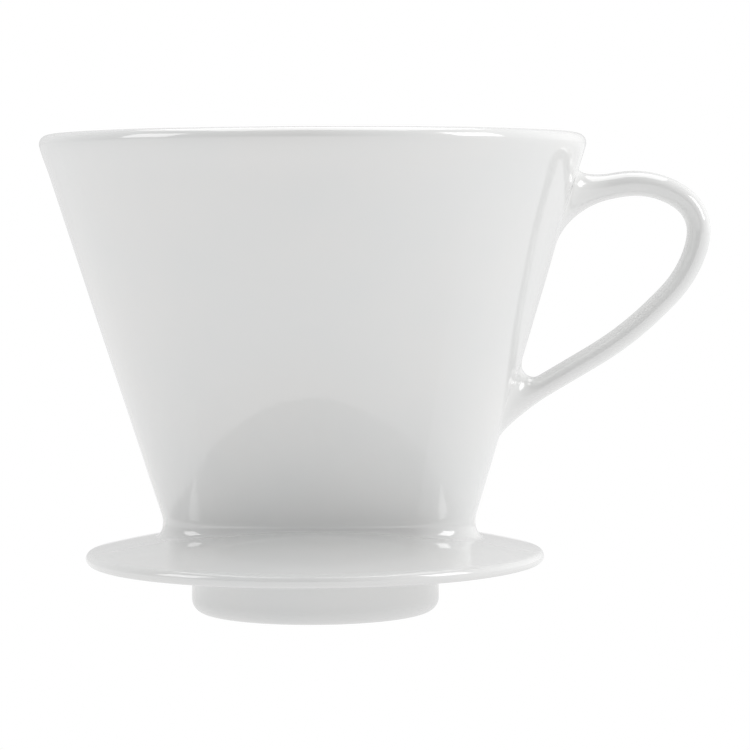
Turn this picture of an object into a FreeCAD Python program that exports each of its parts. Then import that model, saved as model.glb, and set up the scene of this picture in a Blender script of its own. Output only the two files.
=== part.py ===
# Pour over coffee dripper in glazed porcelain: a wedge shaped filter cone that is
# round at the rim and long at the floor, set on a domed saucer with a foot ring that
# drops into a jug's mouth, and a loop handle luted to the cone at two roots.
#
# Millimetres. +Z is up, +X is the handle side. The origin is on the foot ring's axis,
# in the plane that the foot stands on.
import FreeCAD
import Part
import math
import os
from FreeCAD import Vector

# Filter cone
RIM_RADIUS = 65.0            # outside of the lip
LIP_RADIUS = 2.2             # the lip is a half round of this radius
LIP_LEVEL = 111.7            # centre of the half round, so the rim is 113.9 high
WALL = 2 * LIP_RADIUS        # measured level, about 3.9 square to the wall
BASE_LEVEL = 20.0            # where the wall starts to lean
BASE_HALF_STRAIGHT = 22.15   # half of the straight front at the base
BASE_END_RADIUS = 14.6       # round ends of the base
BASE_SHIFT = 1.05            # the base sits this far towards the handle
SEAT_LEVEL = 17.5            # underside of the cone, sunk in the saucer
FLOOR_LEVEL = 20.5           # inside floor of the cone
FLOOR_CORNER = 2.4           # rounding between floor and wall
RIM_FLAT_ANGLE = 34.0        # degrees of rim that each flat front widens to, each way

# Drain holes, in a row along the floor
HOLE_RADIUS = 3.0
HOLE_PITCH = 16.0
HOLE_COUNT = 3

# Flow ribs on the two flat inner faces
RIB_COUNT = 7
RIB_PITCH = 6.6
RIB_WIDTH = 2.0
RIB_HEIGHT = 1.2
RIB_BOTTOM = 24.0
RIB_TOP = 92.0
RIB_STEP_DOWN = 9.0          # each rib outward from the middle ends this much lower

# Saucer
SAUCER_RADIUS = 54.87
SAUCER_LIP_RADIUS = 1.5
SAUCER_LIP_LEVEL = 13.3
DOME_TOP = 21.0
UNDERSIDE_LEVEL = 15.2       # flat underside inside the foot ring

# Foot ring
FOOT_RADIUS = 29.62
FOOT_INNER_RADIUS = 23.6
FOOT_OUTER_CORNER = 3.2
FOOT_INNER_CORNER = 1.0
FOOT_TOP = 14.9

# Handle: a strap of oval section on straight runs joined by arcs, in the XZ plane
HANDLE_PATH = [(55.0, 98.4), (80.1, 103.1), (93.7, 95.4),
               (89.8, 80.3), (74.9, 65.6), (41.5, 46.0)]
HANDLE_BENDS = [19.6, 9.7, 27.0, 76.0]
HANDLE_THICKNESS = 5.7       # in the plane of the loop
HANDLE_BREADTH = 8.8         # across the loop

# Slip fillets, as how far each stands off the surface it runs along
CONE_FILLET = [(18.2, 3.4), (20.4, 1.7), (22.2, 0.7), (25.5, -0.3)]


def stadium(level, half, radius, shift):
    """Closed wire of two half circles and two straights, round ends along X."""
    right = shift + half
    left = shift - half
    a = Vector(right, -radius, level)
    b = Vector(right, radius, level)
    c = Vector(left, radius, level)
    d = Vector(left, -radius, level)
    right_end = Part.Arc(a, Vector(right + radius, 0, level), b).toShape()
    back = Part.makeLine(b, c)
    left_end = Part.Arc(c, Vector(left - radius, 0, level), d).toShape()
    front = Part.makeLine(d, a)
    return Part.Wire([right_end, back, left_end, front])


def split_circle(level, radius):
    """A circle in four arcs: two long ends and two short stretches for the flats."""
    def at(angle):
        turn = math.radians(angle)
        return Vector(radius * math.cos(turn), radius * math.sin(turn), level)

    flat = RIM_FLAT_ANGLE
    spans = [(flat - 90, 90 - flat), (90 - flat, 90 + flat),
             (90 + flat, 270 - flat), (270 - flat, 270 + flat)]
    arcs = []
    for start, end in spans:
        arcs.append(Part.Arc(at(start), at((start + end) / 2), at(end)).toShape())
    return Part.Wire(arcs)


def wall_at(level):
    """Straight half length, end radius and shift of the cone's outer wall at a height."""
    share = (level - BASE_LEVEL) / (LIP_LEVEL - BASE_LEVEL)
    half = BASE_HALF_STRAIGHT * (1 - share)
    radius = BASE_END_RADIUS * (1 - share) + RIM_RADIUS * share
    return half, radius, BASE_SHIFT * (1 - share)


def wall_section(level, stand_off):
    """The outer wall's section at a height, moved outward by stand_off."""
    half, radius, shift = wall_at(level)
    return stadium(level, half, radius + stand_off, shift)


def cone_envelope():
    """The cone as if it were solid: a straight foot under the leaning wall."""
    foot = Part.Face(wall_section(BASE_LEVEL, 0)).extrude(Vector(0, 0, SEAT_LEVEL - BASE_LEVEL))
    wall = Part.makeLoft([wall_section(BASE_LEVEL, 0), split_circle(LIP_LEVEL, RIM_RADIUS)],
                         True, True)
    return foot.fuse(wall).removeSplitter()


def cavity(inset):
    """The space inside the cone, drawn in by inset from the inner wall."""
    gap = -WALL - inset
    sections = [wall_section(FLOOR_LEVEL, gap - 0.8 * FLOOR_CORNER),
                wall_section(FLOOR_LEVEL + 0.3 * FLOOR_CORNER, gap - 0.3 * FLOOR_CORNER),
                wall_section(FLOOR_LEVEL + FLOOR_CORNER, gap),
                split_circle(LIP_LEVEL, RIM_RADIUS + gap)]
    return Part.makeLoft(sections, True, True)


def lip():
    """Half round that closes the top of the wall."""
    middle = RIM_RADIUS - LIP_RADIUS
    outer = Vector(RIM_RADIUS, 0, LIP_LEVEL)
    inner = Vector(middle - LIP_RADIUS, 0, LIP_LEVEL)
    crown = Part.Arc(outer, Vector(middle, 0, LIP_LEVEL + LIP_RADIUS), inner).toShape()
    profile = Part.Face(Part.Wire([crown, Part.makeLine(inner, outer)]))
    return profile.revolve(Vector(0, 0, 0), Vector(0, 0, 1), 360)


def drain_holes():
    """The row of drain holes as cylinders through floor and saucer."""
    holes = []
    for i in range(HOLE_COUNT):
        x = (i - (HOLE_COUNT - 1) / 2) * HOLE_PITCH
        holes.append(Part.makeCylinder(HOLE_RADIUS, 20, Vector(x, 0, 10)))
    return Part.makeCompound(holes)


def filter_cone():
    """Thin walled cone with a rounded lip and a floor with drain holes."""
    shell = cone_envelope().cut(cavity(0))
    return shell.fuse(lip()).removeSplitter().cut(drain_holes())


def flow_ribs(side):
    """Ribs on one flat inner face; side is -1 for the front and +1 for the back."""
    skin = cavity(-0.4).cut(cavity(RIB_HEIGHT)).common(cavity(0))
    ribs = []
    for i in range(RIB_COUNT):
        step = i - (RIB_COUNT - 1) / 2
        x = step * RIB_PITCH + BASE_SHIFT * 0.5
        top = RIB_TOP - abs(step) * RIB_STEP_DOWN
        corner = Vector(x - RIB_WIDTH / 2, 0 if side > 0 else -RIM_RADIUS, RIB_BOTTOM)
        slab = Part.makeBox(RIB_WIDTH, RIM_RADIUS, top - RIB_BOTTOM, corner)
        ribs += skin.common(slab).Solids
    return Part.makeCompound(ribs)


def saucer():
    """Domed flange with a rounded lip, a seat for the cone and the drain holes."""
    lip_centre = SAUCER_RADIUS - SAUCER_LIP_RADIUS
    lip_top = Vector(lip_centre, 0, SAUCER_LIP_LEVEL + SAUCER_LIP_RADIUS)
    lip_side = Vector(SAUCER_RADIUS, 0, SAUCER_LIP_LEVEL)
    lip_bottom = Vector(lip_centre, 0, SAUCER_LIP_LEVEL - SAUCER_LIP_RADIUS)
    crown = Vector(0, 0, DOME_TOP)
    shoulder = Vector(27.0, 0, 19.38)
    soffit = Vector(42.0, 0, 13.75)
    root = Vector(FOOT_RADIUS, 0, FOOT_TOP)
    inner_root = Vector(FOOT_INNER_RADIUS, 0, FOOT_TOP)
    under_edge = Vector(FOOT_INNER_RADIUS, 0, UNDERSIDE_LEVEL)
    under_centre = Vector(0, 0, UNDERSIDE_LEVEL)
    outline = Part.Wire([
        Part.Arc(crown, shoulder, lip_top).toShape(),
        Part.Arc(lip_top, lip_side, lip_bottom).toShape(),
        Part.Arc(lip_bottom, soffit, root).toShape(),
        Part.makeLine(root, inner_root),
        Part.makeLine(inner_root, under_edge),
        Part.makeLine(under_edge, under_centre),
        Part.makeLine(under_centre, crown)])
    disc = Part.Face(outline).revolve(Vector(0, 0, 0), Vector(0, 0, 1), 360)
    return disc.cut(cone_envelope()).cut(drain_holes())


def foot_ring():
    """Ring under the saucer, rounded outside so that it finds a jug's mouth."""
    outer = FOOT_RADIUS
    inner = FOOT_INNER_RADIUS
    big = FOOT_OUTER_CORNER
    small = FOOT_INNER_CORNER
    half_turn = math.sqrt(0.5)
    outline = Part.Wire([
        Part.makeLine(Vector(inner, 0, FOOT_TOP), Vector(outer, 0, FOOT_TOP)),
        Part.makeLine(Vector(outer, 0, FOOT_TOP), Vector(outer, 0, big)),
        Part.Arc(Vector(outer, 0, big),
                 Vector(outer - big + big * half_turn, 0, big - big * half_turn),
                 Vector(outer - big, 0, 0)).toShape(),
        Part.makeLine(Vector(outer - big, 0, 0), Vector(inner + small, 0, 0)),
        Part.Arc(Vector(inner + small, 0, 0),
                 Vector(inner + small - small * half_turn, 0, small - small * half_turn),
                 Vector(inner, 0, small)).toShape(),
        Part.makeLine(Vector(inner, 0, small), Vector(inner, 0, FOOT_TOP))])
    return Part.Face(outline).revolve(Vector(0, 0, 0), Vector(0, 0, 1), 360)


def handle_path():
    """Straight runs joined by tangent arcs through HANDLE_PATH."""
    points = [Vector(x, 0, z) for x, z in HANDLE_PATH]
    edges = []
    start = points[0]
    for i, radius in enumerate(HANDLE_BENDS, 1):
        back = (points[i - 1] - points[i]).normalize()
        ahead = (points[i + 1] - points[i]).normalize()
        half_angle = back.getAngle(ahead) / 2
        reach = radius / math.tan(half_angle)
        bisector = (back + ahead).normalize()
        enter = points[i] + back * reach
        leave = points[i] + ahead * reach
        middle = points[i] + bisector * (radius / math.sin(half_angle) - radius)
        edges.append(Part.makeLine(start, enter))
        edges.append(Part.Arc(enter, middle, leave).toShape())
        start = leave
    edges.append(Part.makeLine(start, points[-1]))
    return Part.Wire(edges)


def oval(centre, along, thickness, breadth):
    """Oval section square to the direction along, thickness measured in the XZ plane."""
    across = Vector(0, 1, 0)
    within = along.cross(across).normalize()
    half_breadth = breadth / 2
    half_thickness = thickness / 2
    if half_breadth > half_thickness:
        curve = Part.Ellipse(centre + across * half_breadth, centre + within * half_thickness,
                             centre)
    else:
        curve = Part.Ellipse(centre + within * half_thickness, centre + across * half_breadth,
                             centre)
    return Part.Wire([curve.toShape()])


def handle():
    """The loop, cut where it meets the cone's wall."""
    start = Vector(HANDLE_PATH[0][0], 0, HANDLE_PATH[0][1])
    towards = Vector(HANDLE_PATH[1][0], 0, HANDLE_PATH[1][1]) - start
    section = oval(start, towards.normalize(), HANDLE_THICKNESS, HANDLE_BREADTH)
    bar = handle_path().makePipeShell([section], True, False)
    return largest(bar.cut(cone_envelope()))


def largest(shape):
    """The biggest solid of a shape that a cut left in pieces."""
    return max(shape.Solids, key=lambda solid: solid.Volume)


def root_collar(start, end, stations, grip):
    """Slip fillet around a handle root.

    stations lists, from the wall outward, the distance along the root, the growth above,
    the growth below and the growth to each side of the handle's oval.
    """
    along = (end - start).normalize()
    up = along.cross(Vector(0, -1, 0)).normalize()
    if up.z < 0:
        up = up * -1
    sections = []
    for distance, above, below, beside in stations:
        centre = start + along * distance + up * ((above - below) / 2)
        sections.append(oval(centre, along, HANDLE_THICKNESS + above + below,
                             HANDLE_BREADTH + 2 * beside))
    flare = Part.makeLoft(sections, True, False)
    return largest(flare.cut(cone_envelope()).cut(grip))


def handle_joint_upper(grip):
    """Fillet under the lip: tight above the handle, wide below it."""
    start = Vector(HANDLE_PATH[0][0], 0, HANDLE_PATH[0][1])
    end = Vector(HANDLE_PATH[1][0], 0, HANDLE_PATH[1][1])
    stations = [(2.0, 3.0, 9.8, 4.2), (6.0, 1.2, 5.0, 2.0), (9.5, 0.4, 2.2, 0.8),
                (13.5, -0.3, 0.3, -0.2), (15.5, -0.8, -0.5, -0.6)]
    return root_collar(start, end, stations, grip)


def handle_joint_lower(grip):
    """Fillet low on the cone, about as wide above the handle as below it."""
    start = Vector(HANDLE_PATH[-1][0], 0, HANDLE_PATH[-1][1])
    end = Vector(HANDLE_PATH[-2][0], 0, HANDLE_PATH[-2][1])
    stations = [(0.5, 5.4, 4.4, 3.6), (4.5, 2.7, 2.6, 2.0), (8.0, 1.1, 1.2, 0.8),
                (12.0, -0.3, -0.1, -0.2), (14.0, -0.8, -0.6, -0.6)]
    return root_collar(start, end, stations, grip)


def cone_joint(dish):
    """Slip fillet around the cone's base, between its wall and the saucer."""
    sections = [wall_section(level, stand_off) for level, stand_off in CONE_FILLET]
    bead = Part.makeLoft(sections, True, False)
    return largest(bead.cut(cone_envelope()).cut(dish))


def save(name, shape):
    """Write one node and print what it holds."""
    shape.exportStep("parts/" + name + ".step")
    print(name, "valid", shape.isValid(), "solids", len(shape.Solids),
          "volume %.1f mm3" % shape.Volume)


os.makedirs("parts", exist_ok=True)
dish = saucer()
grip = handle()
save("filter_cone", filter_cone())
save("flow_ribs_front", flow_ribs(-1))
save("flow_ribs_back", flow_ribs(1))
save("cone_joint", cone_joint(dish))
save("saucer", dish)
save("foot_ring", foot_ring())
save("handle", grip)
save("handle_joint_upper", handle_joint_upper(grip))
save("handle_joint_lower", handle_joint_lower(grip))
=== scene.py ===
import math

import bpy
import numpy as np
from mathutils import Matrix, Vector, noise
from mathutils.geometry import delaunay_2d_cdt


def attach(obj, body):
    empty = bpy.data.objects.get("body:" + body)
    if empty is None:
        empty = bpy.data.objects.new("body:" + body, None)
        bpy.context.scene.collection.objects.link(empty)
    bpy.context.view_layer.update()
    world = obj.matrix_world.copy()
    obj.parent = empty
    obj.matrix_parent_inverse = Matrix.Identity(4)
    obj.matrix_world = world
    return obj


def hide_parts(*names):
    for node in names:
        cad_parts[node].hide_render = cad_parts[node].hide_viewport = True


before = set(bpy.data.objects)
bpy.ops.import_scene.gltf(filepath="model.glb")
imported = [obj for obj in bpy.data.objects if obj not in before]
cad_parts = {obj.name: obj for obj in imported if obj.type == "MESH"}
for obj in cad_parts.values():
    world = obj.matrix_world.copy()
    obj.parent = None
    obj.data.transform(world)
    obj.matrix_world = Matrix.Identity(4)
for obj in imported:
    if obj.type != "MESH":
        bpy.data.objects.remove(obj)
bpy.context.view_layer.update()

MM = 0.001

# Cone, as in the CAD frame
RIM_RADIUS = 65.0
LIP_RADIUS = 2.2
LIP_LEVEL = 111.7
WALL = 4.4
BASE_LEVEL = 20.0
BASE_HALF = 22.15
BASE_RADIUS = 14.6
BASE_SHIFT = 1.05
RIM_FLAT_ANGLE = 34.0
FLOOR_LEVEL = 20.5
FLOOR_CORNER = 2.4
SEAT_LEVEL = 17.5
HOLE_RADIUS = 3.0
HOLE_ROUND = 0.8
HOLES_AT = (-16.0, 0.0, 16.0)

# Slip fillet between cone and saucer
FLARE_LEVEL = 23.4           # the wall starts to flare here
FLARE_OUT = 2.0              # reach of the fillet over the saucer at the flat faces
FLARE_OUT_END = 2.9          # and at the round ends
FLARE_FOLLOW = 1.5           # how long it follows the wall
FLARE_LEAVE = 1.6            # and the dome
KEY = 0.8                    # depth that a piece laps into its neighbour
KEY_LEVEL = 18.6             # the fillet's hidden lower edge

# Saucer
DOME_TOP = 21.15
DOME_FALL = 450.0            # the dome drops by r * r / DOME_FALL
SAUCER_RADIUS = 54.87
SAUCER_LIP = 1.5
SAUCER_LIP_END = -100.0      # the lip's round ends here, in degrees
UNDERSIDE_LEVEL = 15.2       # inside the foot ring
UNDERSIDE_DROP = 4.2         # outside it, from the dome down to the foot's root

# Foot ring
FOOT_RADIUS = 29.62
FOOT_INNER = 23.6
FOOT_CORNER = 3.2
FOOT_INNER_CORNER = 1.2
FOOT_FILLET = 1.6

# Handle
HANDLE_PATH = ((55.0, 98.4), (80.1, 103.1), (93.7, 95.4),
               (89.8, 80.3), (74.9, 65.6), (41.5, 46.0))
HANDLE_BENDS = (19.6, 9.7, 27.0, 76.0)
HANDLE_THICKNESS = (6.1, 5.3)     # at its upper root, and from half way on
HANDLE_BREADTH = 8.8
OVAL_POWER = 0.92            # below 1 the section is a little squarer than an ellipse
HANDLE_STARTS = 71.0         # X where the upper fillet hands over to the loop
HANDLE_ENDS = 55.0           # and the loop to the lower one
UPPER_ROOT = (3.0, 9.5, 4.4, 1.25)    # spread above, below and beside it, and its hold
LOWER_ROOT = (8.5, 4.0, 4.2, 0.9)

# Mesh density
ARC_STEPS = 64
FLAT_STEPS = 30

# Slow unevenness: half height and cell size, in millimetres
SWELL = ((0.075, 30.0), (0.02, 9.0))
WALL_TOP = 104.0             # the straight wall ends here and turns into the lip
LIP_INSIDE = 193             # the half round's part of the lip, in degrees
LIP_OUTSIDE = -15


# ---------------------------------------------------------------- outlines

def ring_places():
    """Places round the wedge: 0-1 handle end, 1-2 back, 2-3 far end, 3-4 front."""
    places = []
    for side, steps in enumerate((ARC_STEPS, FLAT_STEPS, ARC_STEPS, FLAT_STEPS)):
        places += [side + k / steps for k in range(steps)]
    return np.array(places)


def outline(place, level, out=0.0):
    """Points of the wedge's outer wall, moved out square to it, at places and a height."""
    place = np.asarray(place, float) % 4
    side = np.floor(place).astype(int)
    part = place - side
    share = (level - BASE_LEVEL) / (LIP_LEVEL - BASE_LEVEL)
    along = np.choose(side, [1 + 0 * part, 1 - 2 * part, -1 + 0 * part, -1 + 2 * part])
    turn = np.choose(side, [-90 + 180 * part, 90 + 0 * part, 90 + 180 * part, 270 + 0 * part])
    squeeze = (90 - RIM_FLAT_ANGLE) / 90
    rim_turn = np.choose(side, [turn * squeeze, 90 - RIM_FLAT_ANGLE * along,
                                180 + (turn - 180) * squeeze, 270 + RIM_FLAT_ANGLE * along])
    turn = np.radians(turn)
    rim_turn = np.radians(rim_turn)
    mixed = turn * (1 - share) + rim_turn * share
    base_x = BASE_SHIFT + along * BASE_HALF + BASE_RADIUS * np.cos(turn)
    base_y = BASE_RADIUS * np.sin(turn)
    x = base_x * (1 - share) + RIM_RADIUS * np.cos(rim_turn) * share + out * np.cos(mixed)
    y = base_y * (1 - share) + RIM_RADIUS * np.sin(rim_turn) * share + out * np.sin(mixed)
    return np.stack([x, y, level + 0 * x], axis=-1)


def circle_like(ring, radius, level):
    """A circle with its points in line with those of a ring."""
    turn = np.arctan2(ring[:, 1], ring[:, 0])
    return np.stack([radius * np.cos(turn), radius * np.sin(turn), level + 0 * turn], axis=-1)


def hermite(start, start_slope, end, end_slope, share):
    """A point on the smooth curve from start to end with given slopes."""
    s = share
    return ((2 * s ** 3 - 3 * s ** 2 + 1) * start + (s ** 3 - 2 * s ** 2 + s) * start_slope
            + (3 * s ** 2 - 2 * s ** 3) * end + (s ** 3 - s ** 2) * end_slope)


def unit(vectors):
    """Vectors scaled to length one."""
    return vectors / np.maximum(np.linalg.norm(vectors, axis=-1, keepdims=True), 1e-12)


def dome(ring):
    """The ring dropped on the saucer's dome."""
    lifted = ring.copy()
    lifted[:, 2] = DOME_TOP - (ring[:, 0] ** 2 + ring[:, 1] ** 2) / DOME_FALL
    return lifted


# ---------------------------------------------------------------- the glazed sheet

def inner_rows(places):
    """Floor edge, rounded corner and inner wall, up to the lip."""
    rows = [outline(places, FLOOR_LEVEL, -WALL - FLOOR_CORNER - 0.6 + 0.3 * k) for k in range(3)]
    for k in range(1, 9):
        turn = math.radians(90 * k / 9)
        out = -WALL - FLOOR_CORNER * (1 - math.sin(turn))
        rows.append(outline(places, FLOOR_LEVEL + FLOOR_CORNER * (1 - math.cos(turn)), out))
    for level in np.linspace(FLOOR_LEVEL + FLOOR_CORNER, WALL_TOP, 44):
        rows.append(outline(places, level, -WALL))
    return rows


def lip_rows(places, wall_inside, wall_outside):
    """The lip, from the inner wall over the top to the outer wall."""
    centre = RIM_RADIUS - LIP_RADIUS
    rim = outline(places, LIP_LEVEL)
    away = unit(rim * np.array([1, 1, 0]))

    def round_at(degrees):
        turn = math.radians(degrees)
        ring = away * (centre + LIP_RADIUS * math.cos(turn))
        ring[:, 2] = LIP_LEVEL + LIP_RADIUS * math.sin(turn)
        return ring

    def slope_at(degrees):
        turn = math.radians(degrees)
        slope = away * -math.sin(turn)
        slope[:, 2] = math.cos(turn)
        return slope

    def blend(wall, wall_below, start, sign):
        end = round_at(start)
        rise = unit(wall - wall_below)
        size = np.linalg.norm(end - wall, axis=-1, keepdims=True)
        return [hermite(wall, rise * size, end, sign * slope_at(start) * size, k / 8)
                for k in range(1, 8)]

    inner = blend(wall_inside[-1], wall_inside[-2], LIP_INSIDE, -1)
    outer = blend(wall_outside[0], wall_outside[1], LIP_OUTSIDE, 1)
    over = [round_at(angle) for angle in np.linspace(LIP_INSIDE, LIP_OUTSIDE, 22)]
    return inner + over + outer[::-1]


def outer_rows(places):
    """Outer wall from below the lip to the flare."""
    return [outline(places, level) for level in np.linspace(WALL_TOP, FLARE_LEVEL, 46)]


def flare_rows(places, wall):
    """Slip fillet from the wall to the saucer's dome."""
    foot = outline(places, BASE_LEVEL)
    endness = np.abs(np.cos(np.arctan2(foot[:, 1], foot[:, 0])))[:, None]
    away = unit(foot - outline(places, BASE_LEVEL, -1.0))
    reach = FLARE_OUT + (FLARE_OUT_END - FLARE_OUT) * endness ** 4
    landing = dome(foot + away * reach)
    further = dome(foot + away * (reach + 0.5))
    start = wall[-1]
    down = unit(wall[-1] - wall[-2])
    out = unit(further - landing)
    drop = start[:, 2:] - landing[:, 2:]
    rows = []
    for k in range(1, 19):
        rows.append(hermite(start, down * drop * FLARE_FOLLOW, landing, out * reach * FLARE_LEAVE, k / 18))
    return rows


def saucer_rows(landing):
    """Dome, rounded lip and underside, down to the foot."""
    rows = []
    edge_slope = 2 * SAUCER_RADIUS / DOME_FALL
    first = 90 - math.degrees(math.atan(edge_slope))
    edge = SAUCER_RADIUS - SAUCER_LIP
    top_radius = edge + SAUCER_LIP * math.cos(math.radians(first))
    top = circle_like(landing, top_radius, 0)
    top = dome(top)
    centre_level = top[0, 2] - SAUCER_LIP * math.sin(math.radians(first))
    for k in range(1, 25):
        share = k / 25
        rows.append(dome(landing * (1 - share) + top * share))
    for angle in np.linspace(first, SAUCER_LIP_END, 16):
        turn = math.radians(angle)
        rows.append(circle_like(landing, edge + SAUCER_LIP * math.cos(turn),
                                centre_level + SAUCER_LIP * math.sin(turn)))
    low_radius = edge + SAUCER_LIP * math.cos(math.radians(SAUCER_LIP_END))
    low_level = centre_level + SAUCER_LIP * math.sin(math.radians(SAUCER_LIP_END))
    root_radius = FOOT_RADIUS + FOOT_FILLET
    root_level = DOME_TOP - root_radius ** 2 / DOME_FALL - UNDERSIDE_DROP
    for k in range(1, 20):
        share = k / 20
        radius = low_radius + (root_radius - low_radius) * share
        fall = (DOME_TOP - radius ** 2 / DOME_FALL) - (DOME_TOP - low_radius ** 2 / DOME_FALL)
        rest = root_level - low_level - ((root_radius ** 2 - low_radius ** 2) / -DOME_FALL)
        rows.append(circle_like(landing, radius, low_level + fall + rest * share))
    for angle in np.linspace(85, 0, 8):
        turn = math.radians(angle)
        rows.append(circle_like(landing, root_radius - FOOT_FILLET * math.cos(turn),
                                root_level - FOOT_FILLET * (1 - math.sin(turn))))
    return rows


def foot_rows(landing, top_level):
    """Foot ring from its outer wall round the standing face to its inner wall."""
    rows = [circle_like(landing, FOOT_RADIUS, level)
            for level in np.linspace(top_level, FOOT_CORNER, 9)[1:]]
    for angle in np.linspace(0, 90, 10)[1:]:
        turn = math.radians(angle)
        rows.append(circle_like(landing, FOOT_RADIUS - FOOT_CORNER * (1 - math.cos(turn)),
                                FOOT_CORNER * (1 - math.sin(turn))))
    inner_edge = FOOT_INNER + FOOT_INNER_CORNER
    for radius in np.linspace(FOOT_RADIUS - FOOT_CORNER, inner_edge, 4)[1:]:
        rows.append(circle_like(landing, radius, 0))
    for angle in np.linspace(90, 180, 7)[1:]:
        turn = math.radians(angle)
        rows.append(circle_like(landing, inner_edge + FOOT_INNER_CORNER * math.cos(turn),
                                FOOT_INNER_CORNER * (1 - math.sin(turn))))
    for level in np.linspace(FOOT_INNER_CORNER, UNDERSIDE_LEVEL - FOOT_FILLET, 8)[1:]:
        rows.append(circle_like(landing, FOOT_INNER, level))
    return rows


def under_rows(landing):
    """Fillet inside the foot ring and the flat underside."""
    rows = []
    for angle in np.linspace(0, 90, 8)[1:]:
        turn = math.radians(angle)
        rows.append(circle_like(landing, FOOT_INNER - FOOT_FILLET * (1 - math.cos(turn)),
                                UNDERSIDE_LEVEL - FOOT_FILLET * (1 - math.sin(turn))))
    for radius in (21.7, 21.3, 20.9):
        rows.append(circle_like(landing, radius, UNDERSIDE_LEVEL))
    return rows


def swell(points):
    """Slow unevenness of the glaze and the hand-finished clay, in millimetres."""
    flat = points.reshape(-1, 3)
    (deep, wide), (fine, narrow) = SWELL
    apart = Vector((7, 3, 5))
    values = [deep * noise.noise(Vector(p) / wide) + fine * noise.noise(Vector(p) / narrow + apart)
              for p in flat]
    return np.array(values).reshape(points.shape[:-1])


def sheet_normals(sheet):
    """Normals of a sheet whose rows are closed rings."""
    around = np.roll(sheet, -1, axis=1) - np.roll(sheet, 1, axis=1)
    step = sheet[1:] - sheet[:-1]
    size = np.maximum(np.linalg.norm(step, axis=-1, keepdims=True), 1e-9)
    step = step / size
    along = np.empty_like(sheet)
    along[0] = step[0]
    along[-1] = step[-1]
    along[1:-1] = step[:-1] * size[1:] + step[1:] * size[:-1]
    return unit(np.cross(along, around))


def glazed_sheet():
    """All rings of the glazed skin, their normals, and where each piece ends."""
    places = ring_places()
    inside = inner_rows(places)
    outside = outer_rows(places)
    over = lip_rows(places, inside, outside)
    flare = flare_rows(places, outside)
    landing = flare[-1]
    dish = saucer_rows(landing)
    foot = foot_rows(landing, dish[-1][0, 2])
    under = under_rows(landing)
    cuts = {"flare": len(inside) + len(over) + len(outside) - 1}
    cuts["landing"] = cuts["flare"] + len(flare)
    cuts["foot"] = cuts["landing"] + len(dish)
    cuts["under"] = cuts["foot"] + len(foot)
    sheet = np.array(inside + over + outside + flare + dish + foot + under)
    calm = np.ones(len(sheet))
    calm[:12] = 0
    calm[cuts["foot"] - 4:] = 0
    sheet = sheet + sheet_normals(sheet) * (swell(sheet) * calm[:, None])[..., None]
    return sheet, sheet_normals(sheet), cuts


# ---------------------------------------------------------------- meshes

class Shell:
    """Collects faces with their own corner normals and joins equal points."""

    def __init__(self):
        self.points = []
        self.index = {}
        self.faces = []
        self.normals = []

    def vertex(self, point):
        key = tuple(np.round(point, 4))
        if key not in self.index:
            self.index[key] = len(self.points)
            self.points.append(point)
        return self.index[key]

    def face(self, corners, normals=None):
        """Adds a face, turned to agree with its corner normals; with none given it is flat."""
        ids = [self.vertex(c) for c in corners]
        kept = [k for k in range(len(ids)) if ids[k] != ids[k - 1]]
        if len(kept) < 3:
            return
        points = [np.asarray(corners[k]) for k in kept]
        flat = sum(np.cross(points[k - 1], points[k]) for k in range(len(points)))
        flat = flat / max(float(np.linalg.norm(flat)), 1e-12)
        if normals is None:
            normals = [flat] * len(corners)
        elif sum(float(flat @ normals[k]) for k in kept) < 0:
            kept.reverse()
        self.faces.append([ids[k] for k in kept])
        self.normals += [tuple(normals[k]) for k in kept]

    def rings(self, rows, normals=None):
        """Joins closed rings, one after the other, with quads."""
        count = len(rows[0])
        for j in range(len(rows) - 1):
            for i in range(count):
                n = (i + 1) % count
                where = [(j, i), (j + 1, i), (j + 1, n), (j, n)]
                corners = [rows[a][b] for a, b in where]
                given = None if normals is None else [normals[a][b] for a, b in where]
                self.face(corners, given)

    def plate(self, border, holes, level, up):
        """Flat area inside a border and outside the holes, facing up or down."""
        loops = [border] + holes
        flat = []
        edges = []
        for loop in loops:
            first = len(flat)
            flat += [Vector((p[0], p[1])) for p in loop]
            edges += [(first + k, first + (k + 1) % len(loop)) for k in range(len(loop))]
        points, _, triangles, _, _, _ = delaunay_2d_cdt(flat, edges, [], 1, 1e-7)
        facing = (0.0, 0.0, 1.0 if up else -1.0)
        for triangle in triangles:
            corners = [np.array([points[k][0], points[k][1], level]) for k in triangle]
            middle = sum(corners) / 3
            if any(math.hypot(middle[0] - x, middle[1]) < max_radius(hole, x)
                   for hole, x in zip(holes, HOLES_AT)):
                continue
            area = np.cross(corners[1] - corners[0], corners[2] - corners[0])[2]
            if (area > 0) != up:
                corners.reverse()
            self.face(corners, [facing] * 3)

    def object(self, name, material, underneath=None):
        """The finished Blender object, in metres; underneath is for faces it stands on."""
        mesh = bpy.data.meshes.new(name)
        mesh.from_pydata([tuple(float(v) * MM for v in p) for p in self.points], [], self.faces)
        mesh.polygons.foreach_set("use_smooth", [True] * len(mesh.polygons))
        mesh.normals_split_custom_set(self.normals)
        mesh.materials.append(material)
        if underneath is not None:
            mesh.materials.append(underneath)
            for polygon in mesh.polygons:
                if polygon.center.z < 0.02 * MM:
                    polygon.material_index = 1
        mesh.update()
        made = bpy.data.objects.new(name, mesh)
        bpy.context.scene.collection.objects.link(made)
        return made


def max_radius(hole, x):
    """Radius of a round hole about its centre on the X axis."""
    return float(np.mean(np.hypot(hole[:, 0] - x, hole[:, 1]))) - 0.01


def hole_ring(x, radius, level, steps=40):
    """One ring of a drain hole."""
    turn = np.linspace(0, 2 * math.pi, steps, endpoint=False)
    return np.stack([x + radius * np.cos(turn), radius * np.sin(turn), level + 0 * turn], axis=-1)


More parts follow.
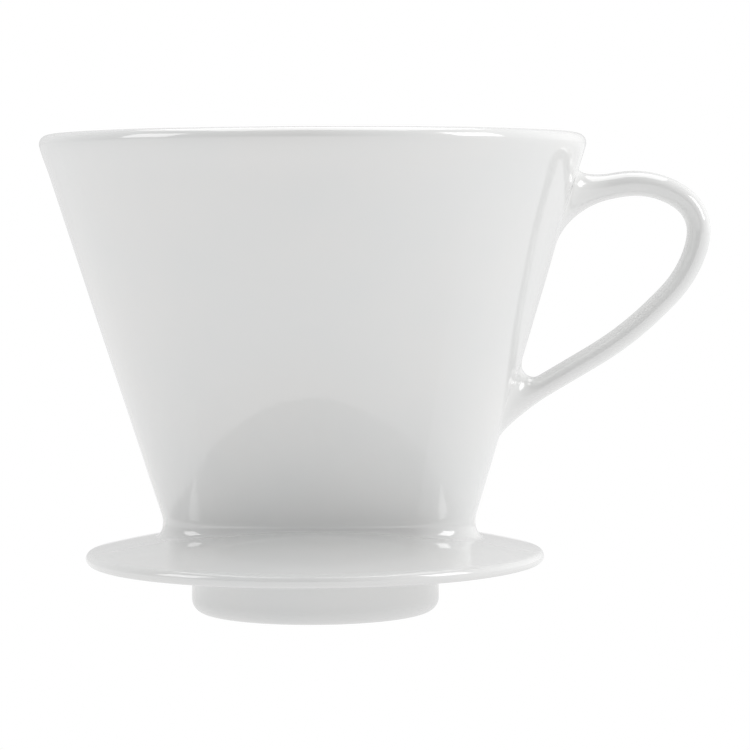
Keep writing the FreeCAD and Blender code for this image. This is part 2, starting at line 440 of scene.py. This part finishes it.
def drain_hole(shell, x, round_level, plain_level):
    """Wall of a drain hole with one glaze-rounded edge; returns its two end rings."""
    sign = 1 if round_level > plain_level else -1
    rows = []
    normals = []
    for angle in np.linspace(90, 0, 7):
        turn = math.radians(angle)
        rows.append(hole_ring(x, HOLE_RADIUS + HOLE_ROUND * (1 - math.cos(turn)),
                              round_level - sign * HOLE_ROUND * (1 - math.sin(turn))))
        inward = -(rows[-1] - np.array([x, 0, rows[-1][0, 2]])) / np.linalg.norm(
            rows[-1][0] - np.array([x, 0, rows[-1][0, 2]]))
        normals.append(inward * math.cos(turn) + np.array([0, 0, sign * math.sin(turn)]))
    rows.append(hole_ring(x, HOLE_RADIUS, plain_level))
    normals.append(normals[-1])
    shell.rings(rows, normals)
    return rows[0], rows[-1]


def filter_cone(sheet, normals, cuts, key_rows, material):
    """Inner wall, lip, outer wall and floor of the cone."""
    shell = Shell()
    shell.rings(sheet[1:cuts["flare"] + 1], normals[1:cuts["flare"] + 1])
    shell.rings(np.array([sheet[cuts["flare"]]] + key_rows))
    tops = []
    bottoms = []
    for x in HOLES_AT:
        top, bottom = drain_hole(shell, x, FLOOR_LEVEL, SEAT_LEVEL)
        tops.append(top)
        bottoms.append(bottom)
    shell.plate(sheet[1], tops, FLOOR_LEVEL, True)
    shell.plate(key_rows[-1], bottoms, SEAT_LEVEL, False)
    return shell.object("filter_cone_glazed", material)


def cone_joint(sheet, normals, cuts, key_rows, material):
    """Slip fillet ring between the wall and the saucer."""
    shell = Shell()
    start, end = cuts["flare"], cuts["landing"]
    shell.rings(sheet[start:end + 1], normals[start:end + 1])
    shell.rings(np.array([sheet[end], key_rows[1], key_rows[0], sheet[start]]))
    return shell.object("cone_joint_glazed", material)


def saucer(sheet, normals, cuts, key_rows, foot_key, material):
    """Dome, lip and underside of the saucer, with the seat of the cone."""
    shell = Shell()
    start, end, inner = cuts["landing"], cuts["foot"], cuts["under"]
    shell.rings(sheet[start:end + 1], normals[start:end + 1])
    shell.rings(np.array([sheet[end]] + foot_key + [sheet[inner]]))
    shell.rings(sheet[inner:-1], normals[inner:-1])
    shell.rings(np.array([key_rows[2], key_rows[1], sheet[start]]))
    tops = []
    bottoms = []
    for x in HOLES_AT:
        bottom, top = drain_hole(shell, x, UNDERSIDE_LEVEL, SEAT_LEVEL)
        tops.append(top)
        bottoms.append(bottom)
    shell.plate(key_rows[2], tops, SEAT_LEVEL, True)
    shell.plate(sheet[-2], bottoms, UNDERSIDE_LEVEL, False)
    return shell.object("saucer_glazed", material)


def foot_ring(sheet, normals, cuts, foot_key, material, standing_face):
    """The ring that the dripper stands on."""
    shell = Shell()
    start, end = cuts["foot"], cuts["under"]
    shell.rings(sheet[start:end + 1], normals[start:end + 1])
    shell.rings(np.array([sheet[end]] + foot_key[::-1] + [sheet[start]]))
    return shell.object("foot_ring_glazed", material, standing_face)


# ---------------------------------------------------------------- handle

def handle_line():
    """Centre line of the handle as evenly spaced points with soft changes of bend."""
    points = [np.array(p) for p in HANDLE_PATH]
    line = [points[0]]
    for i, radius in enumerate(HANDLE_BENDS, 1):
        back = unit(points[i - 1] - points[i])
        ahead = unit(points[i + 1] - points[i])
        half = math.acos(float(back @ ahead)) / 2
        centre = points[i] + unit(back + ahead) * radius / math.sin(half)
        enter = points[i] + back * radius / math.tan(half)
        leave = points[i] + ahead * radius / math.tan(half)
        first = math.atan2(*(enter - centre)[::-1])
        sweep = (math.atan2(*(leave - centre)[::-1]) - first + math.pi) % (2 * math.pi) - math.pi
        for k in range(25):
            turn = first + sweep * k / 24
            line.append(centre + radius * np.array([math.cos(turn), math.sin(turn)]))
    line.append(points[-1])
    line = np.array(line)
    length = np.concatenate([[0], np.cumsum(np.linalg.norm(np.diff(line, axis=0), axis=1))])
    even = np.arange(0, length[-1], 0.5)
    line = np.stack([np.interp(even, length, line[:, k]) for k in range(2)], axis=-1)
    weights = np.hanning(15)[1:-1]
    weights /= weights.sum()
    pad = len(weights) // 2
    for _ in range(2):
        before = line[0] + (line[0] - line[pad:0:-1])
        after = line[-1] + (line[-1] - line[-2:-pad - 2:-1])
        padded = np.concatenate([before, line, after])
        line = np.stack([np.convolve(padded[:, k], weights, "valid") for k in range(2)], axis=-1)
    return line


def oval_ring(centre, along, thickness, steps=48):
    """Oval of the handle square to a direction in the XZ plane."""
    within = np.array([-along[1], 0, along[0]])
    turn = np.linspace(0, 2 * math.pi, steps, endpoint=False)
    a = np.sign(np.cos(turn)) * np.abs(np.cos(turn)) ** OVAL_POWER * thickness / 2
    b = np.sign(np.sin(turn)) * np.abs(np.sin(turn)) ** OVAL_POWER * HANDLE_BREADTH / 2
    middle = np.array([centre[0], 0, centre[1]])
    return middle + a[:, None] * within + b[:, None] * np.array([0, 1, 0])


def find_outline(low, high, level, out, axis, wanted):
    """Outline points whose X (axis 0) or Y (axis 1) is the wanted one, between two places."""
    low = np.full(np.shape(wanted), low)
    high = np.full(np.shape(wanted), high)
    for _ in range(40):
        place = (low + high) / 2
        short = outline(place, level, out)[..., axis] < wanted
        low = np.where(short, place, low)
        high = np.where(short, high, place)
    return outline((low + high) / 2, level, out)


def wall_near_handle(y, level):
    """Points of the outer wall at the handle's end, for side steps and heights."""
    return find_outline(0.0, 1.0, level, 0.0, 1, y)


def skin_at(y, level):
    """Skin points, raised by the swell, and their normals at the handle's end."""
    def raised(dy, dz):
        point = wall_near_handle(y + dy, level + dz)
        across = wall_near_handle(y + dy + 0.5, level + dz) - wall_near_handle(y + dy - 0.5, level + dz)
        upward = wall_near_handle(y + dy, level + dz + 0.5) - wall_near_handle(y + dy, level + dz - 0.5)
        return point + unit(np.cross(across, upward)) * swell(point)[..., None]

    normal = unit(np.cross(raised(0.4, 0) - raised(-0.4, 0), raised(0, 0.4) - raised(0, -0.4)))
    return raised(0, 0), normal


def root_fillet(ring, along, above, below, beside, hold):
    """Rings of the slip fillet that carries a handle ring down to the wall; hold keeps it slim."""
    direction = np.array([along[0], 0, along[1]])
    low = np.zeros(len(ring))
    high = np.full(len(ring), 40.0)
    for _ in range(30):
        far = (low + high) / 2
        trial = ring + direction * far[:, None]
        outside = trial[:, 0] > wall_near_handle(trial[:, 1], trial[:, 2])[:, 0]
        low = np.where(outside, far, low)
        high = np.where(outside, high, far)
    landed = ring + direction * low[:, None]
    spoke = unit((landed - landed.mean(axis=0)) * np.array([0, 1, 1]))
    upright = np.where(spoke[:, 2] > 0, above, below)
    grow = np.hypot(beside * spoke[:, 1], upright * spoke[:, 2])[:, None]
    feet, normals = skin_at(landed[:, 1] + grow[:, 0] * spoke[:, 1],
                            landed[:, 2] + grow[:, 0] * spoke[:, 2])
    feet = feet - normals * 0.01
    spread = unit(spoke - normals * np.sum(spoke * normals, axis=-1, keepdims=True)) * grow
    reach = np.linalg.norm(feet - ring, axis=-1, keepdims=True)
    rows = [hermite(ring, direction * reach * hold, feet, spread * 1.7, k / 20) for k in range(21)]
    return rows, normals


def outward_normals(rows):
    """Normals of a tube's rings, pointing away from its middle."""
    normals = sheet_normals(rows)
    half = len(rows) // 2
    spokes = rows[half] - rows[half].mean(axis=0)
    if np.sum(normals[half] * spokes) < 0:
        return -normals
    return normals


def closed_rows(shell, rows, normals):
    """A tube of rings with both ends closed by a fan."""
    shell.rings(rows, normals)
    for ring, inner in ((rows[0], rows[1]), (rows[-1], rows[-2])):
        centre = np.mean(ring, axis=0)
        facing = [unit(centre - np.mean(inner, axis=0))] * 3
        for k in range(len(ring)):
            shell.face([ring[k - 1], ring[k], centre], facing)


def handle_pieces(material):
    """The loop and the two slip fillets at its roots."""
    line = handle_line()
    along = unit(np.gradient(line, axis=0))
    middle = len(line) // 2
    upper = int(np.argmin(np.abs(line[:middle, 0] - HANDLE_STARTS)))
    lower = int(middle + np.argmin(np.abs(line[middle:, 0] - HANDLE_ENDS)))
    taper = np.interp(np.arange(len(line)), (upper, middle), HANDLE_THICKNESS)
    rings = [oval_ring(line[k], along[k], taper[k]) for k in range(upper, lower + 1)]
    top_rows, top_normals = root_fillet(rings[0], -along[upper], *UPPER_ROOT)
    low_rows, low_normals = root_fillet(rings[-1], along[lower], *LOWER_ROOT)
    whole = np.array(top_rows[::-1] + rings[1:-1] + low_rows)
    normals = outward_normals(whole)
    normals[0] = top_normals
    normals[-1] = low_normals
    first = len(top_rows) - 1
    last = len(whole) - len(low_rows)
    made = []
    for name, start, end in (("handle_joint_upper_glazed", 0, first),
                             ("handle_loop_glazed", first, last),
                             ("handle_joint_lower_glazed", last, len(whole) - 1)):
        shell = Shell()
        closed_rows(shell, whole[start:end + 1], normals[start:end + 1])
        made.append(shell.object(name, material))
    return made


# ---------------------------------------------------------------- flow ribs

RIB_COUNT = 7
RIB_PITCH = 6.6
RIB_WIDTH = 2.2
RIB_HEIGHT = 1.15
RIB_BOTTOM = 24.0
RIB_TOP = 92.0
RIB_STEP_DOWN = 9.0


def inner_at(x, level, side):
    """Points of the inner wall at given X and height on the front (-1) or the back (1)."""
    if side > 0:
        return find_outline(2.5, 0.5, level, -WALL, 0, x)
    return find_outline(2.5, 4.5, level, -WALL, 0, x)


def flow_ribs(side, name, material):
    """Rounded ribs with soft ends on one inner face."""
    shell = Shell()
    inward = unit(np.array([0, -side, 0.45]))
    across = np.linspace(-1, 1, 11)
    behind = np.linspace(0.8, -0.8, 5)
    for i in range(RIB_COUNT):
        step = i - (RIB_COUNT - 1) / 2
        x = step * RIB_PITCH + BASE_SHIFT * 0.5
        top = RIB_TOP - abs(step) * RIB_STEP_DOWN
        rows = []
        for level in np.linspace(RIB_BOTTOM, top, 36):
            near = min(level - RIB_BOTTOM, top - level, 3.0) / 3.0
            taper = math.sqrt(1 - (1 - near) ** 2)
            half = RIB_WIDTH / 2 * (0.35 + 0.65 * taper)
            lift = RIB_HEIGHT * taper * np.cos(across * math.pi / 2).clip(0) ** 0.8 - 0.02
            face = inner_at(x + across * half, level, side) + lift[:, None] * inward
            back = inner_at(x + behind * half, level, side) - 0.4 * inward
            rows.append(np.concatenate([face, back]))
        rows = np.array(rows)
        closed_rows(shell, rows, outward_normals(rows))
    return shell.object(name, material)


# ---------------------------------------------------------------- materials

GLAZE_COOL = (0.81, 0.818, 0.816)
GLAZE_WARM = (0.832, 0.83, 0.822)
SPECK_COLOUR = (0.42, 0.38, 0.33)
SPECK_CELLS = 95.0           # one cell of the speck pattern is about 10 mm
SPECK_SIZE = 0.03            # radius of a speck in cells
SPECK_SHARE = 0.09           # this share of the cells has a speck
GLAZE_ROUGHNESS = (0.06, 0.12)
BISQUE_DARK = (0.62, 0.58, 0.51)
BISQUE_LIGHT = (0.75, 0.72, 0.65)


def node(tree, kind, **values):
    """A node with its inputs set by name."""
    made = tree.nodes.new(kind)
    for key, value in values.items():
        if key in made.inputs:
            made.inputs[key].default_value = value
        else:
            setattr(made, key, value)
    return made


def link(tree, start, output, end, entry):
    """Joins an output socket to an input socket."""
    tree.links.new(start.outputs[output], end.inputs[entry])


def glaze_specks(tree, place):
    """Mask of a few tiny pinholes and iron specks: 1 on a speck, 0 elsewhere."""
    cells = node(tree, "ShaderNodeTexVoronoi", Scale=SPECK_CELLS, Randomness=1.0)
    link(tree, place, "Object", cells, "Vector")
    spot = node(tree, "ShaderNodeMapRange", clamp=True)
    spot.inputs["From Min"].default_value = SPECK_SIZE
    spot.inputs["From Max"].default_value = SPECK_SIZE * 0.5
    link(tree, cells, "Distance", spot, "Value")
    chosen = node(tree, "ShaderNodeSeparateColor")
    link(tree, cells, "Color", chosen, "Color")
    rare = node(tree, "ShaderNodeMath", operation="LESS_THAN")
    rare.inputs[1].default_value = SPECK_SHARE
    link(tree, chosen, "Red", rare, 0)
    mask = node(tree, "ShaderNodeMath", operation="MULTIPLY")
    link(tree, spot, "Result", mask, 0)
    link(tree, rare, "Value", mask, 1)
    return mask


def porcelain():
    """White porcelain under a clear gloss glaze with a faint orange peel and a few specks."""
    material = bpy.data.materials.new("glazed_porcelain")
    material.use_nodes = True
    tree = material.node_tree
    shader = tree.nodes["Principled BSDF"]
    place = node(tree, "ShaderNodeTexCoord")
    clouds = node(tree, "ShaderNodeTexNoise", Scale=38.0, Detail=3.0, Roughness=0.5)
    link(tree, place, "Object", clouds, "Vector")
    tint = node(tree, "ShaderNodeValToRGB")
    tint.color_ramp.elements[0].position = 0.3
    tint.color_ramp.elements[0].color = (*GLAZE_COOL, 1)
    tint.color_ramp.elements[1].position = 0.7
    tint.color_ramp.elements[1].color = (*GLAZE_WARM, 1)
    link(tree, clouds, "Fac", tint, "Fac")
    specks = glaze_specks(tree, place)
    spotted = node(tree, "ShaderNodeMix", data_type="RGBA")
    spotted.inputs[7].default_value = (*SPECK_COLOUR, 1)
    link(tree, specks, "Value", spotted, 0)
    tree.links.new(tint.outputs["Color"], spotted.inputs[6])
    tree.links.new(spotted.outputs[2], shader.inputs["Base Color"])

    peel = node(tree, "ShaderNodeTexNoise", Scale=420.0, Detail=2.0, Roughness=0.4)
    link(tree, place, "Object", peel, "Vector")
    dent = node(tree, "ShaderNodeMath", operation="SUBTRACT")
    link(tree, peel, "Fac", dent, 0)
    link(tree, specks, "Value", dent, 1)
    bump = node(tree, "ShaderNodeBump", Strength=0.12, Distance=0.00006)
    link(tree, dent, "Value", bump, "Height")
    link(tree, bump, "Normal", shader, "Normal")

    smears = node(tree, "ShaderNodeTexNoise", Scale=90.0, Detail=4.0)
    link(tree, place, "Object", smears, "Vector")
    rough = node(tree, "ShaderNodeMapRange")
    rough.inputs["To Min"].default_value = GLAZE_ROUGHNESS[0]
    rough.inputs["To Max"].default_value = GLAZE_ROUGHNESS[1]
    link(tree, smears, "Fac", rough, "Value")
    link(tree, rough, "Result", shader, "Roughness")
    shader.inputs["IOR"].default_value = 1.52
    shader.inputs["Coat Weight"].default_value = 1.0
    shader.inputs["Coat Roughness"].default_value = 0.02
    shader.inputs["Coat IOR"].default_value = 1.9
    return material


def bisque():
    """Bare fired clay of the wiped standing face: matt, fine grained, a little warm."""
    material = bpy.data.materials.new("bare_bisque")
    material.use_nodes = True
    tree = material.node_tree
    shader = tree.nodes["Principled BSDF"]
    place = node(tree, "ShaderNodeTexCoord")
    grain = node(tree, "ShaderNodeTexNoise", Scale=900.0, Detail=5.0, Roughness=0.65)
    link(tree, place, "Object", grain, "Vector")
    tint = node(tree, "ShaderNodeValToRGB")
    tint.color_ramp.elements[0].position = 0.3
    tint.color_ramp.elements[0].color = (*BISQUE_DARK, 1)
    tint.color_ramp.elements[1].position = 0.7
    tint.color_ramp.elements[1].color = (*BISQUE_LIGHT, 1)
    link(tree, grain, "Fac", tint, "Fac")
    link(tree, tint, "Color", shader, "Base Color")
    bump = node(tree, "ShaderNodeBump", Strength=0.5, Distance=0.0001)
    link(tree, grain, "Fac", bump, "Height")
    link(tree, bump, "Normal", shader, "Normal")
    shader.inputs["Roughness"].default_value = 0.75
    return material


def glowing(name, strength):
    """An even white glow for the stage."""
    material = bpy.data.materials.new(name)
    material.use_nodes = True
    tree = material.node_tree
    tree.nodes.clear()
    glow = node(tree, "ShaderNodeEmission", Strength=strength)
    out = node(tree, "ShaderNodeOutputMaterial")
    link(tree, glow, "Emission", out, "Surface")
    return material


# ---------------------------------------------------------------- set, light and camera

TABLE_GLOW = ((0.05, 0.79), (0.085, 0.92), (0.2, 0.90), (0.4, 0.87), (0.8, 0.81))   # metres, glow
TABLE_GLOW_RIGHT = 0.16      # more of it on the handle's side
TABLE_RIGHT = (0.25, 0.8)    # that rise starts and ends here, in metres
STAGE_REACH = 6.0            # metres
SURROUND_REACH = 8.0         # metres
ROOM = 0.182                 # the tent's even glow
TENT_GLOW = {"right": 0.835, "left": 0.397, "back": 0.465, "top": 0.203}
LIGHT_TARGET = (0, 0, 0.06)
CAMERA_AT = (0.01453, -0.709, 0.0922)
CAMERA_LENS = 142.33
CAMERA_DOWN = 2.88           # degrees below the horizon
CAMERA_ROLL = 0.252          # degrees

def sheet_object(name, points, faces, material):
    """A stage mesh from points in metres."""
    mesh = bpy.data.meshes.new(name)
    mesh.from_pydata(points, [], faces)
    mesh.materials.append(material)
    made = bpy.data.objects.new(name, mesh)
    bpy.context.scene.collection.objects.link(made)
    return made


def shown_only(made):
    """Seen by the camera, but not lighting the object or reflected in it."""
    made.visible_diffuse = False
    made.visible_glossy = False
    made.visible_transmission = False
    made.visible_shadow = False


def disc(name, reach, level, material):
    """A flat round sheet of the stage."""
    steps = 96
    points = [(0, 0, level)]
    faces = []
    for k in range(steps):
        turn = 2 * math.pi * k / steps
        points.append((reach * math.cos(turn), reach * math.sin(turn), level))
        faces.append((0, 1 + k, 1 + (k + 1) % steps))
    return sheet_object(name, points, faces, material)


def softbox(name, azimuth, elevation, distance, width, height, power):
    """A rectangular area light aimed at the dripper; azimuth 0 is the camera's side."""
    data = bpy.data.lights.new(name, "AREA")
    data.shape = "RECTANGLE"
    data.size = width
    data.size_y = height
    data.energy = power
    made = bpy.data.objects.new(name, data)
    turn = math.radians(azimuth)
    rise = math.radians(elevation)
    spot = Vector((math.sin(turn) * math.cos(rise), -math.cos(turn) * math.cos(rise), math.sin(rise)))
    made.location = Vector(LIGHT_TARGET) + spot * distance
    made.rotation_euler = (-spot).to_track_quat("-Z", "Y").to_euler()
    bpy.context.scene.collection.objects.link(made)
    return made


def table_glow():
    """Light table: weaker right under the object and far out, stronger on the right."""
    material = glowing("light_table_glow", 1.0)
    tree = material.node_tree
    place = node(tree, "ShaderNodeTexCoord")
    reach = node(tree, "ShaderNodeVectorMath", operation="LENGTH")
    link(tree, place, "Object", reach, 0)
    ramp = node(tree, "ShaderNodeValToRGB")
    while len(ramp.color_ramp.elements) < len(TABLE_GLOW):
        ramp.color_ramp.elements.new(0.5)
    for element, (radius, glow) in zip(ramp.color_ramp.elements, TABLE_GLOW):
        element.position = radius
        element.color = (glow, glow, glow, 1)
    link(tree, reach, "Value", ramp, "Fac")
    parts = node(tree, "ShaderNodeSeparateXYZ")
    link(tree, place, "Object", parts, "Vector")
    side = node(tree, "ShaderNodeMapRange", interpolation_type="SMOOTHSTEP")
    side.inputs["From Min"].default_value = TABLE_RIGHT[0]
    side.inputs["From Max"].default_value = TABLE_RIGHT[1]
    side.inputs["To Max"].default_value = TABLE_GLOW_RIGHT
    link(tree, parts, "X", side, "Value")
    total = node(tree, "ShaderNodeMath", operation="ADD")
    link(tree, ramp, "Color", total, 0)
    link(tree, side, "Result", total, 1)
    link(tree, total, "Value", tree.nodes["Emission"], "Strength")
    return material


def stage():
    """A glowing light table on a white floor."""
    shown = disc("studio_floor", STAGE_REACH, -0.0006, glowing("white_floor", 1.0))
    shown_only(shown)
    table = disc("light_table", STAGE_REACH, -0.0003, table_glow())
    table.visible_camera = False


def light_set():
    """Two side softboxes, one overhead, and a light tent that glows most on the right."""
    softbox("softbox_left", -71, 27, 1.0, 0.42, 0.5, 1.04)
    softbox("softbox_right", 73, 27, 1.0, 0.42, 0.5, 1.5)
    softbox("softbox_top", 180, 80, 1.5, 1.5, 1.5, 9.2)
    world = bpy.data.worlds.new("light_tent")
    bpy.context.scene.world = world
    world.use_nodes = True
    tree = world.node_tree
    place = node(tree, "ShaderNodeTexCoord")
    parts = node(tree, "ShaderNodeSeparateXYZ")
    link(tree, place, "Generated", parts, "Vector")
    total = None
    for side, axis, sign in (("right", "X", 1), ("left", "X", -1), ("back", "Y", 1), ("top", "Z", 1)):
        facing = node(tree, "ShaderNodeMath", operation="MULTIPLY", use_clamp=True)
        facing.inputs[1].default_value = sign
        link(tree, parts, axis, facing, 0)
        scaled = node(tree, "ShaderNodeMath", operation="MULTIPLY_ADD")
        scaled.inputs[1].default_value = TENT_GLOW[side]
        scaled.inputs[2].default_value = ROOM
        link(tree, facing, "Value", scaled, 0)
        if total is not None:
            link(tree, total, "Value", scaled, 2)
        total = scaled
    back = tree.nodes["Background"]
    back.inputs["Color"].default_value = (1, 1, 1, 1)
    link(tree, total, "Value", back, "Strength")


def shown_surround():
    """White all round behind the floor, seen only by the camera."""
    points = []
    faces = []
    rings, steps = 16, 48
    for j in range(rings + 1):
        rise = math.radians(-90 + 180 * j / rings)
        for k in range(steps):
            turn = 2 * math.pi * k / steps
            points.append((SURROUND_REACH * math.cos(rise) * math.cos(turn),
                           SURROUND_REACH * math.cos(rise) * math.sin(turn),
                           SURROUND_REACH * math.sin(rise)))
    for j in range(rings):
        for k in range(steps):
            n = (k + 1) % steps
            faces.append((j * steps + k, j * steps + n, (j + 1) * steps + n, (j + 1) * steps + k))
    made = sheet_object("white_surround", points, faces, glowing("white_wall", 1.0))
    shown_only(made)


def camera():
    """A long lens just below the rim's level and slightly to the handle side."""
    data = bpy.data.cameras.new("camera")
    data.lens = CAMERA_LENS
    data.sensor_width = 36
    data.clip_start = 0.05
    data.clip_end = 20
    made = bpy.data.objects.new("camera", data)
    made.location = CAMERA_AT
    made.rotation_euler = (math.radians(90 - CAMERA_DOWN), 0, 0)
    made.rotation_euler.rotate_axis("Z", math.radians(-CAMERA_ROLL))
    bpy.context.scene.collection.objects.link(made)
    bpy.context.scene.camera = made


def dripper():
    """Every piece of the object, riding on its one body."""
    glaze = porcelain()
    sheet, normals, cuts = glazed_sheet()
    places = ring_places()
    ledge = sheet[cuts["flare"]] - normals[cuts["flare"]] * KEY
    hidden = outline(places, BASE_LEVEL, -KEY)
    hidden[:, 2] = KEY_LEVEL
    seat = hidden.copy()
    seat[:, 2] = SEAT_LEVEL
    key_rows = [ledge, hidden, seat]
    foot_top = sheet[cuts["foot"]]
    foot_key = [circle_like(foot_top, FOOT_RADIUS - KEY, foot_top[0, 2]),
                circle_like(foot_top, FOOT_INNER + KEY, sheet[cuts["under"]][0, 2])]
    pieces = {
        "filter_cone": filter_cone(sheet, normals, cuts, key_rows, glaze),
        "cone_joint": cone_joint(sheet, normals, cuts, key_rows, glaze),
        "saucer": saucer(sheet, normals, cuts, key_rows, foot_key, glaze),
        "foot_ring": foot_ring(sheet, normals, cuts, foot_key, glaze, bisque()),
        "flow_ribs_front": flow_ribs(-1, "flow_ribs_front_glazed", glaze),
        "flow_ribs_back": flow_ribs(1, "flow_ribs_back_glazed", glaze),
    }
    upper, loop, lower = handle_pieces(glaze)
    pieces["handle_joint_upper"] = upper
    pieces["handle"] = loop
    pieces["handle_joint_lower"] = lower
    for stands_for, piece in pieces.items():
        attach(piece, "root")
        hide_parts(stands_for)


dripper()
stage()
shown_surround()
light_set()
camera()
bpy.context.scene.view_settings.view_transform = "Standard"
